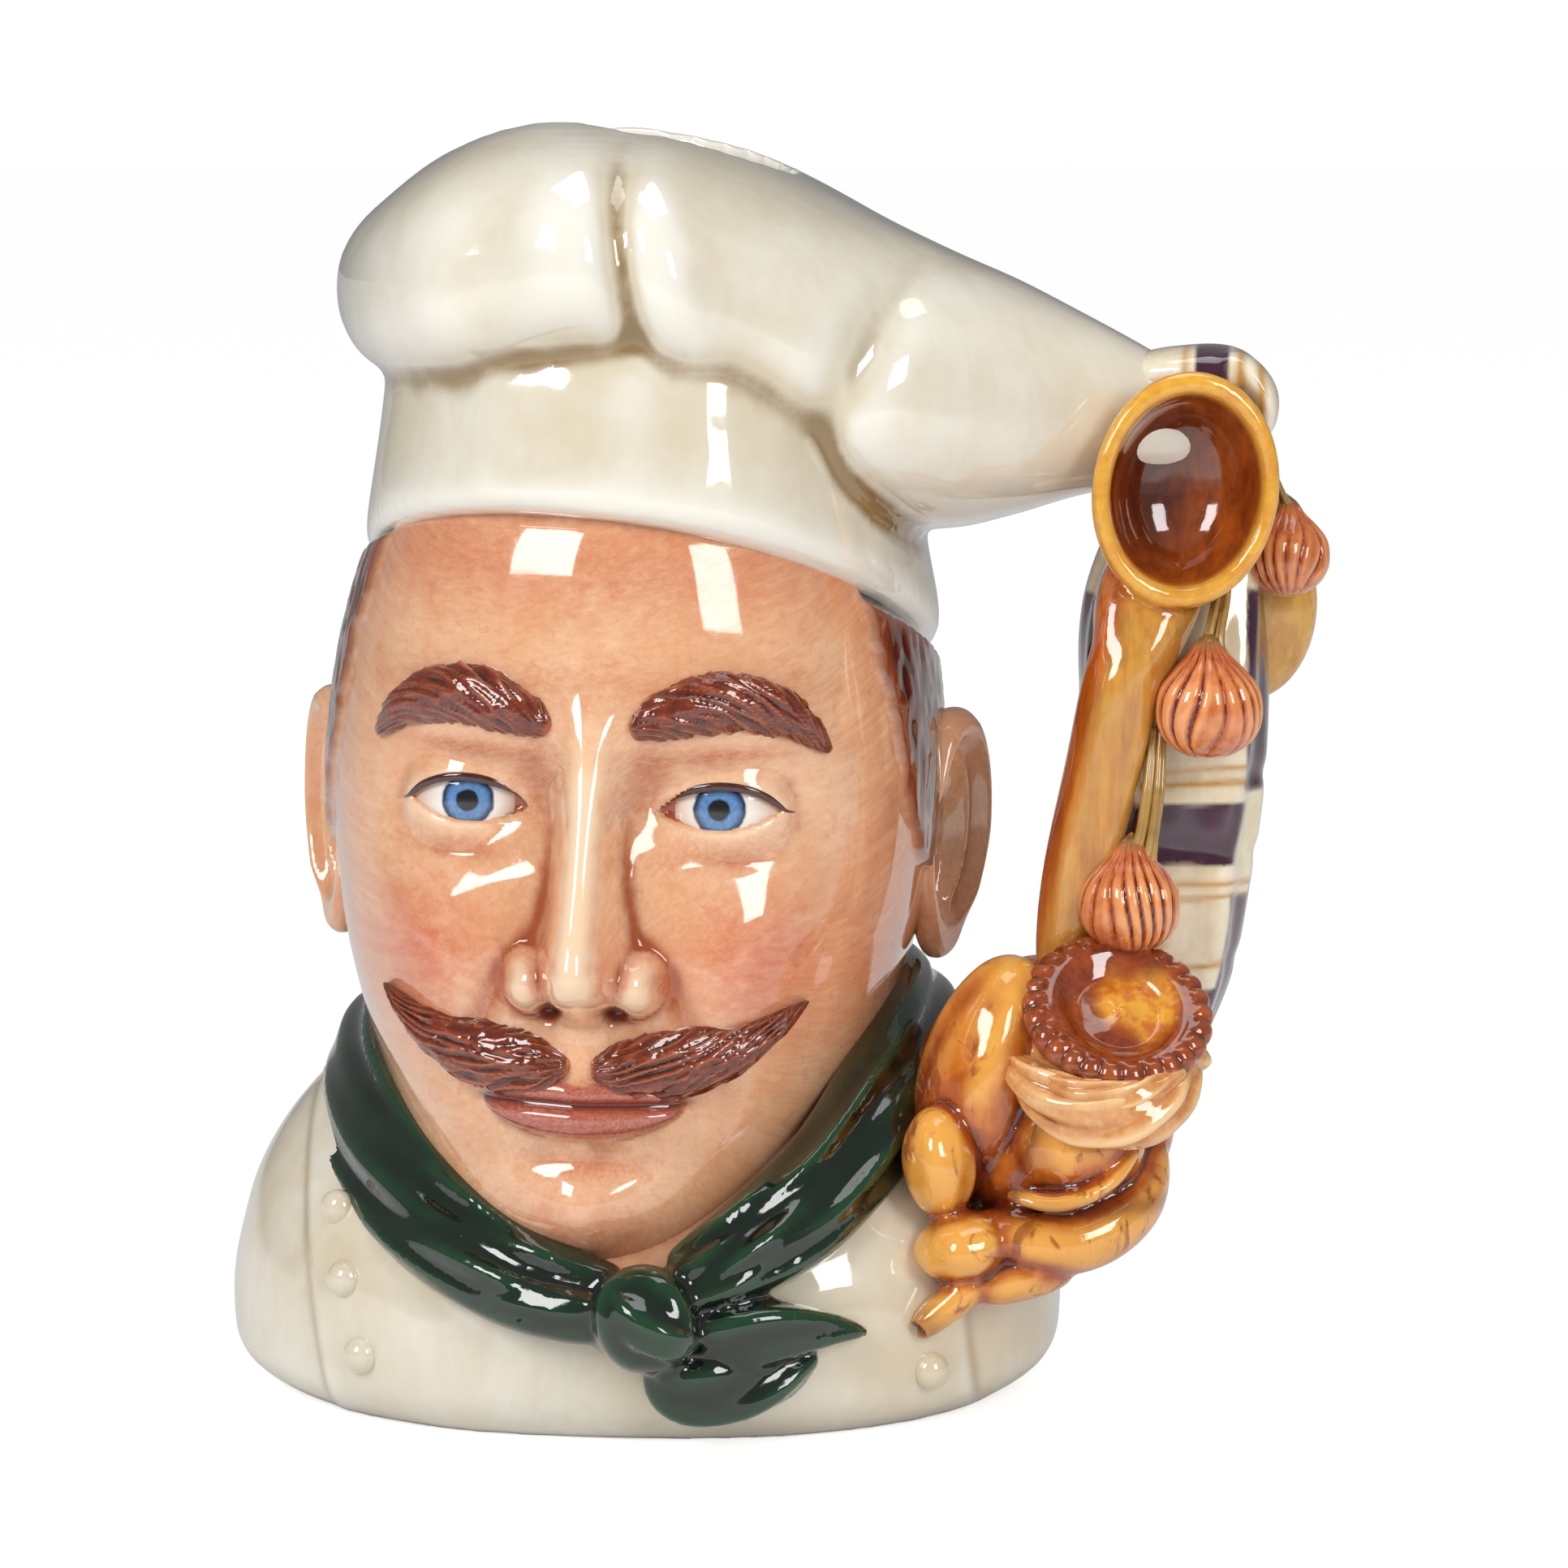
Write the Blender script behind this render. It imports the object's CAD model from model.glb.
import math

import bpy
import numpy as np
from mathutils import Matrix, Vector, noise


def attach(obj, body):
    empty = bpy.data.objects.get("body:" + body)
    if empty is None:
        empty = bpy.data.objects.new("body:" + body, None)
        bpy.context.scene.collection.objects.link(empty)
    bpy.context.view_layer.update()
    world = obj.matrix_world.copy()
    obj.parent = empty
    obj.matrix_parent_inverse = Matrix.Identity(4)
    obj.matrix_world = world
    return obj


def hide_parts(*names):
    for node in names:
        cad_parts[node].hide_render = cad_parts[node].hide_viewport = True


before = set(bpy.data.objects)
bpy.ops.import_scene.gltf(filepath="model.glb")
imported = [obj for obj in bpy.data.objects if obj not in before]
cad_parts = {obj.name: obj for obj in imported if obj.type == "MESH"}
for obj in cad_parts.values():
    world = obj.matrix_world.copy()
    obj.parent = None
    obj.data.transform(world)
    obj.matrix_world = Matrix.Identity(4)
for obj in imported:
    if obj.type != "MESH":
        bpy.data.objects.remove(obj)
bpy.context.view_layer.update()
mm = 0.001  # the tables below are in millimetres


# number helpers

def softStep(low, high, value):
    share = np.clip((value - low) / (high - low), 0, 1)
    return share * share * (3 - 2 * share)


def hump(value, centre, spread):
    return np.exp(-(((value - centre) / spread) ** 2))


def signedPower(value, power):
    return np.sign(value) * np.abs(value) ** power


def softMax(a, b, blend):
    return (a + b + np.sqrt((a - b) ** 2 + blend**2)) / 2


def through(rows, at):  # columns after the first, on a smooth curve through the rows
    table = np.array(rows, float)
    key, values = table[:, 0], table[:, 1:]
    slope = np.gradient(values, key, axis=0)
    at = np.clip(np.asarray(at, float), key[0], key[-1])
    left = np.clip(np.searchsorted(key, at) - 1, 0, len(key) - 2)
    span = key[left + 1] - key[left]
    s = ((at - key[left]) / span)[..., None]
    span = span[..., None]
    found = (
        (2 * s**3 - 3 * s**2 + 1) * values[left]
        + (s**3 - 2 * s**2 + s) * span * slope[left]
        + (3 * s**2 - 2 * s**3) * values[left + 1]
        + (s**3 - s**2) * span * slope[left + 1]
    )
    return np.moveaxis(found, -1, 0)


def cap(t, power):  # 1 along a form, 0 at both its ends
    return (1 - np.abs(2 * t - 1) ** power) ** (1 / power)


def unitRows(rows):
    return rows / np.linalg.norm(rows, axis=1)[:, None]


def cosSin(degrees):
    return math.cos(math.radians(degrees)), math.sin(math.radians(degrees))


def alongLine(stations, share):  # values on a smooth curve through evenly shared out stations
    return through([(i, *station) for i, station in enumerate(stations)], share * (len(stations) - 1))


def frontOrBack(angle, front, back):
    return np.where(np.cos(angle) > 0, front, back)


def grain(points, scale, seed=0.0):  # smooth noise at each point, about -1 to 1
    return np.array([noise.noise(Vector(p)) for p in points * scale + seed])


# mesh helpers

def readRows(piece, what):  # "co" or "normal", a row for each point
    rows = np.empty(len(piece.data.vertices) * 3, np.float32)
    piece.data.vertices.foreach_get(what, rows)
    return rows.reshape(-1, 3).astype(float)


def readPoints(piece):  # in millimetres, as are those that writePoints takes
    return readRows(piece, "co") / mm


def writePoints(piece, points):
    piece.data.vertices.foreach_set("co", np.asarray(points * mm, np.float32).ravel())
    piece.data.update()


def selectOnly(*pieces):
    bpy.ops.object.select_all(action="DESELECT")
    for piece in pieces:
        piece.select_set(True)
    bpy.context.view_layer.objects.active = pieces[0]


def turnOutwards(piece):
    selectOnly(piece)
    bpy.ops.object.mode_set(mode="EDIT")
    bpy.ops.mesh.select_all(action="SELECT")
    bpy.ops.mesh.normals_make_consistent(inside=False)
    bpy.ops.object.mode_set(mode="OBJECT")


def addSphere(name, around, along, radius=1.0):
    bpy.ops.object.select_all(action="DESELECT")
    bpy.ops.mesh.primitive_uv_sphere_add(segments=around, ring_count=along, radius=radius)
    piece = bpy.context.object
    piece.name = name
    return piece


def ballGrid(piece):  # the angle round the ball's axis from the front, and the share along it
    x, y, z = readRows(piece, "co").T
    return np.arctan2(x, -y), 0.5 + np.arcsin(np.clip(z, -1, 1)) / math.pi


def addBall(name, around, along, shape):  # a ball whose points go where shape sends them
    piece = addSphere(name, around, along)
    writePoints(piece, np.stack(shape(*ballGrid(piece)), axis=1))
    turnOutwards(piece)
    return piece


def applyModifier(piece, name, kind, **settings):
    modifier = piece.modifiers.new(name, kind)
    for key, value in settings.items():
        setattr(modifier, key, value)
    selectOnly(piece)
    bpy.ops.object.modifier_apply(modifier=modifier.name)


def oneSkin(piece, voxel, rounds=2):  # melts joined balls into one softened skin
    applyModifier(piece, "oneSkin", "REMESH", mode="VOXEL", voxel_size=voxel * mm)
    applyModifier(piece, "soften", "SMOOTH", factor=0.5, iterations=rounds)


def join(name, parts):
    selectOnly(*parts)
    bpy.ops.object.join()
    parts[0].name = name
    return parts[0]


def addBalls(name, *rows):  # each row is what addBall takes
    return join(name, [addBall(*row) for row in rows])


def cutBy(piece, tool):
    applyModifier(piece, "cut", "BOOLEAN", operation="DIFFERENCE", object=tool, solver="MANIFOLD")


def setValues(piece, name, values):
    layer = piece.data.attributes.new(name, "FLOAT", "POINT")
    layer.data.foreach_set("value", np.asarray(values, np.float32))


def paint(piece, name, mask):
    setValues(piece, name, np.clip(mask, 0, 1))


def paintHollows(piece, rounds):  # how deep each point lies in a crease, in mm, negative on a ridge
    points = soft = readPoints(piece)
    edges = np.empty(len(piece.data.edges) * 2, np.int32)
    piece.data.edges.foreach_get("vertices", edges)
    a, b = edges.reshape(-1, 2).T
    ends, others = np.concatenate([a, b]), np.concatenate([b, a])
    count = np.maximum(np.bincount(ends, minlength=len(points)), 1)
    for _ in range(rounds):
        near = np.stack([np.bincount(ends, soft[others, k], len(points)) for k in range(3)], axis=1)
        soft = 0.4 * soft + 0.6 * near / count[:, None]
    setValues(piece, "hollow", ((soft - points) * readRows(piece, "normal")).sum(axis=1))


def finishPiece(piece, material, rounds=24):
    selectOnly(piece)
    bpy.ops.object.shade_smooth()
    paintHollows(piece, rounds)
    piece.data.materials.clear()
    piece.data.materials.append(material)
    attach(piece, "root")
    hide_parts("toby_jug")
    print("made", piece.name, len(piece.data.polygons), "faces")


# form helpers: each gives a shape for addBall

def stepped(start, *steps):  # the start moved so far along each direction
    return (start + sum(far[:, None] * way for far, way in steps)).T


def stacked(levels, power):  # rounded ovals, one on another
    def shape(angle, t):
        z = levels[0][0] + t * (levels[-1][0] - levels[0][0])
        half, front, back, *middle = through(levels, z)
        end = cap(t, 8)
        x = sum(middle) + end * half * signedPower(np.sin(angle), 2 / power)
        return x, -end * frontOrBack(angle, front, back) * signedPower(np.cos(angle), 2 / power), z

    return shape


def swept(stations, power=2.0, relief=None):
    # each station is x, y, z, half width and half thickness; relief(angle, share) swells the section
    step = 0.01 / (len(stations) - 1)

    def shape(angle, t):
        *place, across, thick = alongLine(stations, t)
        tangent = unitRows((alongLine(stations, t + step) - alongLine(stations, t - step))[:3].T)
        side = unitRows(np.cross(tangent, (0, -1, 0)))
        swell = cap(t, 3) * (1 if relief is None else relief(angle, t))
        u = swell * across * signedPower(np.sin(angle), 2 / power)
        v = swell * thick * signedPower(np.cos(angle), 2 / power)
        return stepped(np.stack(place, axis=1), (u, side), (v, np.cross(side, tangent)))

    return shape


def oval(centre, radii, turn=0.0, relief=None):
    c, s = cosSin(turn)

    def shape(angle, t):
        ring, up = np.sin(math.pi * t), -np.cos(math.pi * t)
        if relief is not None:
            ring = ring * relief(angle, t)
        x, y, z = radii[0] * ring * np.sin(angle), -radii[1] * ring * np.cos(angle), radii[2] * up
        return centre[0] + c * x + s * z, centre[1] + y, centre[2] - s * x + c * z

    return shape


# material helpers

def colourOf(value):  # a socket, or 0-255 values read by eye, which become linear
    if isinstance(value, bpy.types.NodeSocket):
        return value
    share = [number / 255 for number in value]
    return tuple(v / 12.92 if v <= 0.04045 else ((v + 0.055) / 1.055) ** 2.4 for v in share) + (1.0,)


class Nodes:  # short words for wiring one node tree
    def __init__(self, tree):
        self.tree = tree
        self.at = 0

    def add(self, kind, **settings):
        node = self.tree.nodes.new(kind)
        self.at += 1
        node.location = (-1600 + 190 * (self.at % 8), 700 - 260 * (self.at // 8))
        for key, value in settings.items():
            setattr(node, key, value)
        return node

    def put(self, socket, value):
        if isinstance(value, bpy.types.NodeSocket):
            self.tree.links.new(value, socket)
        else:
            socket.default_value = value

    def fill(self, node, values):
        for name, value in values.items():
            self.put(node.inputs[name], value)
        return node.outputs

    def attribute(self, name):
        return self.add("ShaderNodeAttribute", attribute_name=name).outputs["Fac"]

    def math(self, operation, a, b):
        return self.fill(self.add("ShaderNodeMath", operation=operation), {0: a, 1: b})[0]

    def times(self, a, b):
        return self.math("MULTIPLY", a, b)

    def vector(self, operation, values):
        return self.fill(self.add("ShaderNodeVectorMath", operation=operation), values)

    def ramp(self, value, low, high, start=0.0, stop=1.0):
        node = self.add("ShaderNodeMapRange", interpolation_type="SMOOTHSTEP")
        return self.fill(node, dict(enumerate((value, low, high, start, stop))))[0]

    def mix(self, mask, under, over):
        node = self.add("ShaderNodeMix", data_type="RGBA", clamp_factor=True)
        return self.fill(node, {"Factor": mask, 6: colourOf(under), 7: colourOf(over)})[2]

    def noise(self, vector, scale, detail, rough, distort=0.0):
        values = {"Vector": vector, "Scale": scale, "Detail": detail, "Roughness": rough,
                  "Distortion": distort}
        return self.fill(self.add("ShaderNodeTexNoise"), values)["Fac"]

    def mapped(self, vector, scale, place=(0, 0, 0)):
        node = self.add("ShaderNodeMapping")
        return self.fill(node, {"Vector": vector, "Scale": scale, "Location": place})["Vector"]


def newGroup(name, inputs, outputs):
    tree = bpy.data.node_groups.new(name, "ShaderNodeTree")
    for label, kind, value in inputs:
        socket = tree.interface.new_socket(label, in_out="INPUT", socket_type="NodeSocket" + kind)
        if value is not None:
            socket.default_value = value
    for label, kind in outputs:
        tree.interface.new_socket(label, in_out="OUTPUT", socket_type="NodeSocket" + kind)
    work = Nodes(tree)
    return work, work.add("NodeGroupInput").outputs, work.add("NodeGroupOutput")


def brushGroup():  # streaks left by a loaded brush: a mask from 0 to 1
    work, given, result = newGroup(
        "brushStrokes", [("Vector", "Vector", None), ("Scale", "Float", 300.0), ("Contrast", "Float", 0.5)],
        [("Mask", "Float")])
    wide = work.noise(given["Vector"], given["Scale"], 5.0, 0.62, 0.35)
    fine = work.noise(given["Vector"], work.times(given["Scale"], 3.1), 3.0, 0.6, 0.2)
    both = work.math("ADD", work.times(wide, 0.68), work.times(fine, 0.32))
    far = work.times(given["Contrast"], 0.22)
    mask = work.ramp(both, work.math("ADD", 0.5, far), work.math("SUBTRACT", 0.5, far), 1.0, 0.0)
    work.fill(result, {"Mask": mask})
    return work.tree


def poolGroup():  # glaze gathers in hollows and thins on ridges
    work, given, result = newGroup(
        "glazePool",
        [("Base", "Color", (0.8, 0.8, 0.8, 1)), ("Deep", "Color", (0.5, 0.4, 0.3, 1)),
         ("Thin", "Color", (0.9, 0.9, 0.9, 1)), ("Hollow", "Float", 0.0), ("Reach", "Float", 0.4),
         ("Noise", "Float", 0.5)],
        [("Color", "Color"), ("Mask", "Float")])
    sway = work.times(work.math("SUBTRACT", given["Noise"], 0.5), work.times(given["Reach"], 0.9))
    depth = work.math("ADD", given["Hollow"], sway)
    pooled = work.ramp(depth, 0.02, given["Reach"])
    ridge = work.ramp(depth, work.times(given["Reach"], -1.0), -0.02, 1.0, 0.0)
    colour = work.mix(pooled, work.mix(ridge, given["Base"], given["Thin"]), given["Deep"])
    work.fill(result, {"Color": colour, "Mask": pooled})
    return work.tree


def surfaceGroup():  # the faint swell and the pinholes of a fired glaze
    work, given, result = newGroup(
        "glazeSurface", [("Vector", "Vector", None), ("Swell", "Float", 70.0)],
        [("Height", "Float"), ("Roughness", "Float")])
    swell = work.noise(given["Vector"], given["Swell"], 2.0, 0.4)
    peel = work.noise(given["Vector"], work.times(given["Swell"], 7.0), 2.0, 0.5)
    pits = work.ramp(work.noise(given["Vector"], 1900.0, 1.0, 0.4), 0.25, 0.17)
    height = work.math("SUBTRACT", work.math("ADD", swell, work.times(peel, 0.12)), work.times(pits, 0.08))
    dull = work.ramp(work.noise(given["Vector"], 210.0, 3.0, 0.6), 0.3, 0.75, 0.05, 0.13)
    work.fill(result, {"Height": height, "Roughness": dull})
    return work.tree


groups = {"brush": brushGroup(), "pool": poolGroup(), "surface": surfaceGroup()}


class Glaze(Nodes):  # one glazed earthenware material
    def __init__(self, name, swell, bump):
        self.material = bpy.data.materials.new(name)
        self.material.use_nodes = True
        super().__init__(self.material.node_tree)
        self.shader = self.tree.nodes["Principled BSDF"]
        self.place = self.add("ShaderNodeTexCoord").outputs["Object"]
        surface = self.group("surface", Vector=self.place, Swell=swell)
        relief = self.fill(self.add("ShaderNodeBump"), {
            "Strength": bump, "Distance": 1.0 * mm, "Height": surface["Height"]})[0]
        self.fill(self.shader, {"Normal": relief, "Roughness": surface["Roughness"], "IOR": 1.52,
                                "Coat Weight": 1.0, "Coat Roughness": 0.03})

    def group(self, name, **values):
        return self.fill(self.add("ShaderNodeGroup", node_tree=groups[name]), values)

    def strokes(self, scale, stretch, contrast):
        vector = self.mapped(self.place, stretch)
        return self.group("brush", Vector=vector, Scale=scale, Contrast=contrast)["Mask"]

    def patches(self, low, high, *settings):
        return self.ramp(self.noise(self.place, *settings), low, high)

    def brushed(self, name, strokes, low, high=1.0):  # a painted mask, broken up by strokes
        return self.times(self.attribute(name), self.ramp(strokes, 0.0, 1.0, low, high))

    def pooled(self, base, deep, thin, reach, mottle):
        return self.group("pool", Base=base, Deep=colourOf(deep), Thin=colourOf(thin),
                          Hollow=self.attribute("hollow"), Reach=reach,
                          Noise=self.noise(self.place, mottle, 3.0, 0.55))["Color"]

    def colour(self, value):
        self.put(self.shader.inputs["Base Color"], value)
        return self.material


# materials

def creamColour(look):  # warm white, browner where the glaze has run into the folds
    base = look.mix(look.patches(0.36, 0.66, 32.0, 4.0, 0.6), (231, 225, 210), (218, 205, 178))
    base = look.mix(look.times(look.strokes(170.0, (1, 1, 0.35), 0.9), 0.34), base, (206, 189, 156))
    return look.pooled(base, (146, 120, 78), (238, 234, 222), 0.62, 90.0)


def creamGlaze():
    look = Glaze("creamGlaze", 60.0, 0.10)
    return look.colour(creamColour(look))


def ringStrokes(look, middle, fine, long):  # strokes that run in rings round a point of the face
    flat = look.mapped(look.place, (1, 0, 1), (-middle[0], 0, -middle[1]))
    ring = look.vector("NORMALIZE", {0: flat})["Vector"]
    turned = look.vector("SCALE", {0: ring, "Scale": long})["Vector"]
    depth = look.fill(look.add("ShaderNodeSeparateXYZ"), {"Vector": look.place})["Y"]
    spread = look.math("ADD", look.vector("LENGTH", {0: flat})["Value"], look.times(depth, -0.6))
    apart = look.fill(look.add("ShaderNodeCombineXYZ"), {"Y": look.times(spread, fine)})["Vector"]
    both = look.vector("ADD", {0: turned, 1: apart})["Vector"]
    return look.group("brush", Vector=both, Scale=1.0, Contrast=1.0)["Mask"]


def skinColour(look, rings, threads):  # hatched with a fine brush over a pale peach ground
    base = look.mix(look.patches(0.36, 0.68, 60.0, 4.0, 0.6), (245, 204, 166), (235, 180, 136))
    base = look.mix(look.times(rings, 0.36), base, (222, 146, 98))
    base = look.mix(look.times(threads, 0.30), base, (206, 122, 76))
    dabs = look.patches(0.54, 0.68, 420.0, 3.0, 0.65, 0.8)
    return look.mix(look.times(dabs, 0.22), base, (204, 112, 66))


def skinGlaze():
    look = Glaze("skinGlaze", 85.0, 0.14)
    rings = ringStrokes(look, (0.0, 0.064), 700.0, 16.0)
    threads = ringStrokes(look, (0.006, 0.05), 1500.0, 34.0)
    base = skinColour(look, rings, threads)
    base = look.mix(look.brushed("blush", rings, 0.62), base, (206, 96, 66))
    base = look.pooled(base, (170, 82, 40), (248, 212, 176), 0.8, 300.0)
    base = look.mix(look.brushed("shade", threads, 0.55), base, (186, 92, 46))
    base = look.mix(look.brushed("lips", threads, 0.7, 0.95), base, (164, 54, 44))
    base = look.mix(look.attribute("dark"), base, (92, 34, 18))
    hair = look.mix(look.strokes(520.0, (1.6, 1.6, 0.22), 1.0), (46, 15, 8), (102, 40, 18))
    hair = look.pooled(hair, (30, 10, 6), (132, 62, 32), 0.3, 400.0)
    return look.colour(look.mix(look.attribute("hair"), base, hair))


def jacketGlaze():  # cream cloth, with the skin of the neck inside the neckerchief
    look = Glaze("jacketGlaze", 60.0, 0.10)
    base = look.mix(look.times(look.attribute("seam"), 0.6), creamColour(look), (168, 140, 96))
    fine = look.strokes(420.0, (0.5, 0.5, 1.4), 1.0)
    neck = skinColour(look, look.strokes(260.0, (0.5, 0.5, 1.6), 1.0), fine)
    neck = look.mix(look.brushed("under", fine, 0.6), neck, (176, 88, 46))
    return look.colour(look.mix(look.attribute("neck"), base, neck))


def hairGlaze():
    look = Glaze("hairGlaze", 120.0, 0.12)
    tint = look.mix(look.strokes(420.0, (1, 1, 1), 0.9), (84, 28, 12), (132, 52, 22))
    return look.colour(look.pooled(tint, (34, 11, 6), (168, 82, 44), 0.2, 500.0))


def greenGlaze():
    look = Glaze("greenGlaze", 70.0, 0.2)
    tint = look.mix(look.patches(0.35, 0.7, 90.0, 4.0, 0.6), (4, 24, 11), (8, 36, 18))
    return look.colour(look.pooled(tint, (2, 10, 6), (18, 62, 34), 0.55, 200.0))


def woodGlaze():
    look = Glaze("woodGlaze", 90.0, 0.16)
    streak = look.strokes(330.0, (1.3, 1.3, 0.16), 1.0)
    base = look.mix(streak, (228, 156, 54), (172, 94, 28))
    base = look.mix(look.times(look.strokes(120.0, (1, 1, 0.4), 0.9), 0.6), base, (178, 142, 70))
    base = look.pooled(base, (118, 52, 14), (236, 182, 84), 0.5, 260.0)
    base = look.mix(look.attribute("edge"), base, look.mix(streak, (204, 104, 28), (150, 62, 16)))
    bright = look.mix(look.strokes(260.0, (1, 1, 1), 0.9), (236, 178, 56), (214, 140, 40))
    base = look.mix(look.attribute("rim"), base, bright)
    swirl = look.strokes(260.0, (1.0, 0.5, 0.4), 1.0)
    deep = look.mix(swirl, (104, 42, 14), (56, 18, 8))
    inside = look.mix(look.attribute("depth"), look.mix(swirl, (186, 90, 26), (112, 44, 12)), deep)
    return look.colour(look.mix(look.attribute("inside"), base, inside))


def onionGlaze():
    look = Glaze("onionGlaze", 140.0, 0.12)
    base = look.mix(look.strokes(420.0, (1.6, 1.6, 0.2), 1.0), (222, 124, 66), (172, 72, 26))
    base = look.pooled(base, (108, 36, 12), (236, 158, 98), 0.16, 500.0)
    leaf = look.mix(look.strokes(420.0, (1.8, 1.8, 0.12), 1.0), (156, 112, 52), (88, 58, 22))
    leaf = look.pooled(leaf, (60, 34, 12), (184, 146, 80), 0.2, 400.0)
    return look.colour(look.mix(look.attribute("stem"), base, leaf))


def roastGlaze():  # golden on the round parts, brushed with brown towards their edges
    look = Glaze("roastGlaze", 110.0, 0.18)
    base = look.mix(look.patches(0.4, 0.66, 110.0, 4.0, 0.6, 0.6), (222, 134, 44), (186, 90, 26))
    base = look.mix(look.times(look.patches(0.46, 0.62, 48.0, 3.0, 0.6, 0.5), 0.6), base, (172, 80, 24))
    brush = look.strokes(250.0, (1.2, 1.2, 0.45), 1.0)
    base = look.mix(look.times(brush, 0.62), base, (170, 76, 22))
    base = look.mix(look.brushed("flank", brush, 0.55), base, (158, 66, 20))
    base = look.pooled(base, (92, 28, 8), (238, 170, 74), 0.62, 200.0)
    veins = look.noise(look.mapped(look.place, (1, 1, 0.6)), 190.0, 5.0, 0.62, 1.4)
    base = look.mix(look.times(look.ramp(veins, 0.56, 0.66), 0.7), base, (132, 50, 16))
    return look.colour(look.mix(look.attribute("burnt"), base, (104, 36, 12)))


def crustGlaze():
    look = Glaze("crustGlaze", 120.0, 0.16)
    base = look.mix(look.strokes(300.0, (1, 1, 1), 1.0), (230, 170, 104), (198, 122, 62))
    base = look.pooled(base, (126, 52, 18), (244, 202, 146), 0.42, 260.0)
    rim = look.mix(look.strokes(330.0, (1, 1, 1), 1.0), (166, 74, 28), (98, 34, 12))
    rim = look.pooled(rim, (66, 20, 8), (206, 112, 54), 0.36, 300.0)
    lid = look.mix(look.patches(0.4, 0.62, 260.0, 3.0, 0.6), (238, 170, 58), (204, 112, 34))
    return look.colour(look.mix(look.attribute("lid"), look.mix(look.attribute("rim"), base, rim), lid))


def clothGlaze():
    look = Glaze("clothGlaze", 80.0, 0.12)
    base = look.mix(look.strokes(220.0, (1, 1, 0.5), 0.8), (238, 226, 198), (222, 200, 160))
    base = look.pooled(base, (178, 132, 72), (246, 240, 222), 0.7, 160.0)
    base = look.mix(look.attribute("ochre"), base, (196, 146, 68))
    purple = look.mix(look.strokes(260.0, (1, 1, 1), 0.9), (52, 22, 40), (76, 36, 58))
    return look.colour(look.mix(look.attribute("purple"), base, purple))


def spoonGlaze():
    look = Glaze("spoonGlaze", 90.0, 0.14)
    base = look.mix(look.strokes(300.0, (1, 1, 0.5), 0.9), (222, 168, 76), (184, 122, 40))
    return look.colour(look.pooled(base, (184, 122, 40), (236, 190, 96), 0.4, 160.0))


# the jacket

jacket = dict(voxel=0.84, power=2.2, panelRise=0.8, buttonRadius=2.4, buttonRise=1.5, buttonTurn=58,
              buttons=[(-37.0, 27.6), (-35.2, 19.4), (-32.8, 9.9), (40.7, 8.2)])
bustLevels = [
    (-3.0, 51.0, 42.0, 41.5, -0.6), (0.0, 52.6, 43.2, 42.5, -0.6), (3.0, 55.0, 45.0, 44.0, -0.6),
    (10.0, 56.0, 46.0, 45.0, -0.6), (16.0, 55.6, 45.8, 45.0, -0.6), (21.0, 54.5, 45.0, 44.4, -0.6),
    (28.0, 52.2, 41.0, 43.0, -0.8), (35.0, 48.0, 35.0, 40.5, -1.0), (41.0, 42.6, 29.0, 37.5, -1.3),
    (48.0, 35.0, 24.0, 33.0, -1.6), (56.0, 26.0, 20.0, 30.0, -1.6),
]


def jacketFront(x, z):
    half, front, _, middle = through(bustLevels, z)
    share = np.clip(np.abs(x - middle) / half, 0, 0.999)
    return -front * (1 - share ** jacket["power"]) ** (1 / jacket["power"])


def seamLines(z):  # the overlap's two edges
    return -37.6 - 0.16 * z, 46.4 - 0.1 * z


def jacketShape(angle, t):
    x, y, z = stacked(bustLevels, jacket["power"])(angle, t)
    left, right = seamLines(z)
    panel = softStep(-0.45, 0.45, x - left) * softStep(0.45, -0.45, x - right) * (y < 0)
    lip = hump(x, left + 1.2, 0.9) + hump(x, right - 1.2, 0.9)
    drape = 0.35 * hump(x, -20 - 0.5 * z, 6) + 0.3 * hump(x, 22 + 0.3 * z, 5)
    y = y - panel * jacket["panelRise"] - (y < 0) * (0.15 * lip + drape)
    return x, y, np.maximum(z, 0)


def makeJacket():
    body = addBall("jacket", 260, 120, jacketShape)
    oneSkin(body, jacket["voxel"])
    return body


def paintJacket(body):  # the cloth's seams, and the skin of the neck inside the neckerchief
    x, y, z = readPoints(body).T
    left, right = seamLines(z)
    paint(body, "seam", (hump(x, left, 0.55) + hump(x, right, 0.55)) * (y < 0))
    line = sorted((math.atan2(px - head["x"], -py), pz) for px, py, pz, *_ in scarfLine)
    line = [(line[-1][0] - 2 * math.pi, line[-1][1])] + line + [(line[0][0] + 2 * math.pi, line[0][1])]
    over = z - np.interp(np.arctan2(x - head["x"], -y), *np.array(line).T)
    paint(body, "neck", softStep(-1.0, 1.0, over))
    paint(body, "under", softStep(-2.0, 12.0, over) * softStep(60, 46, z))


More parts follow.
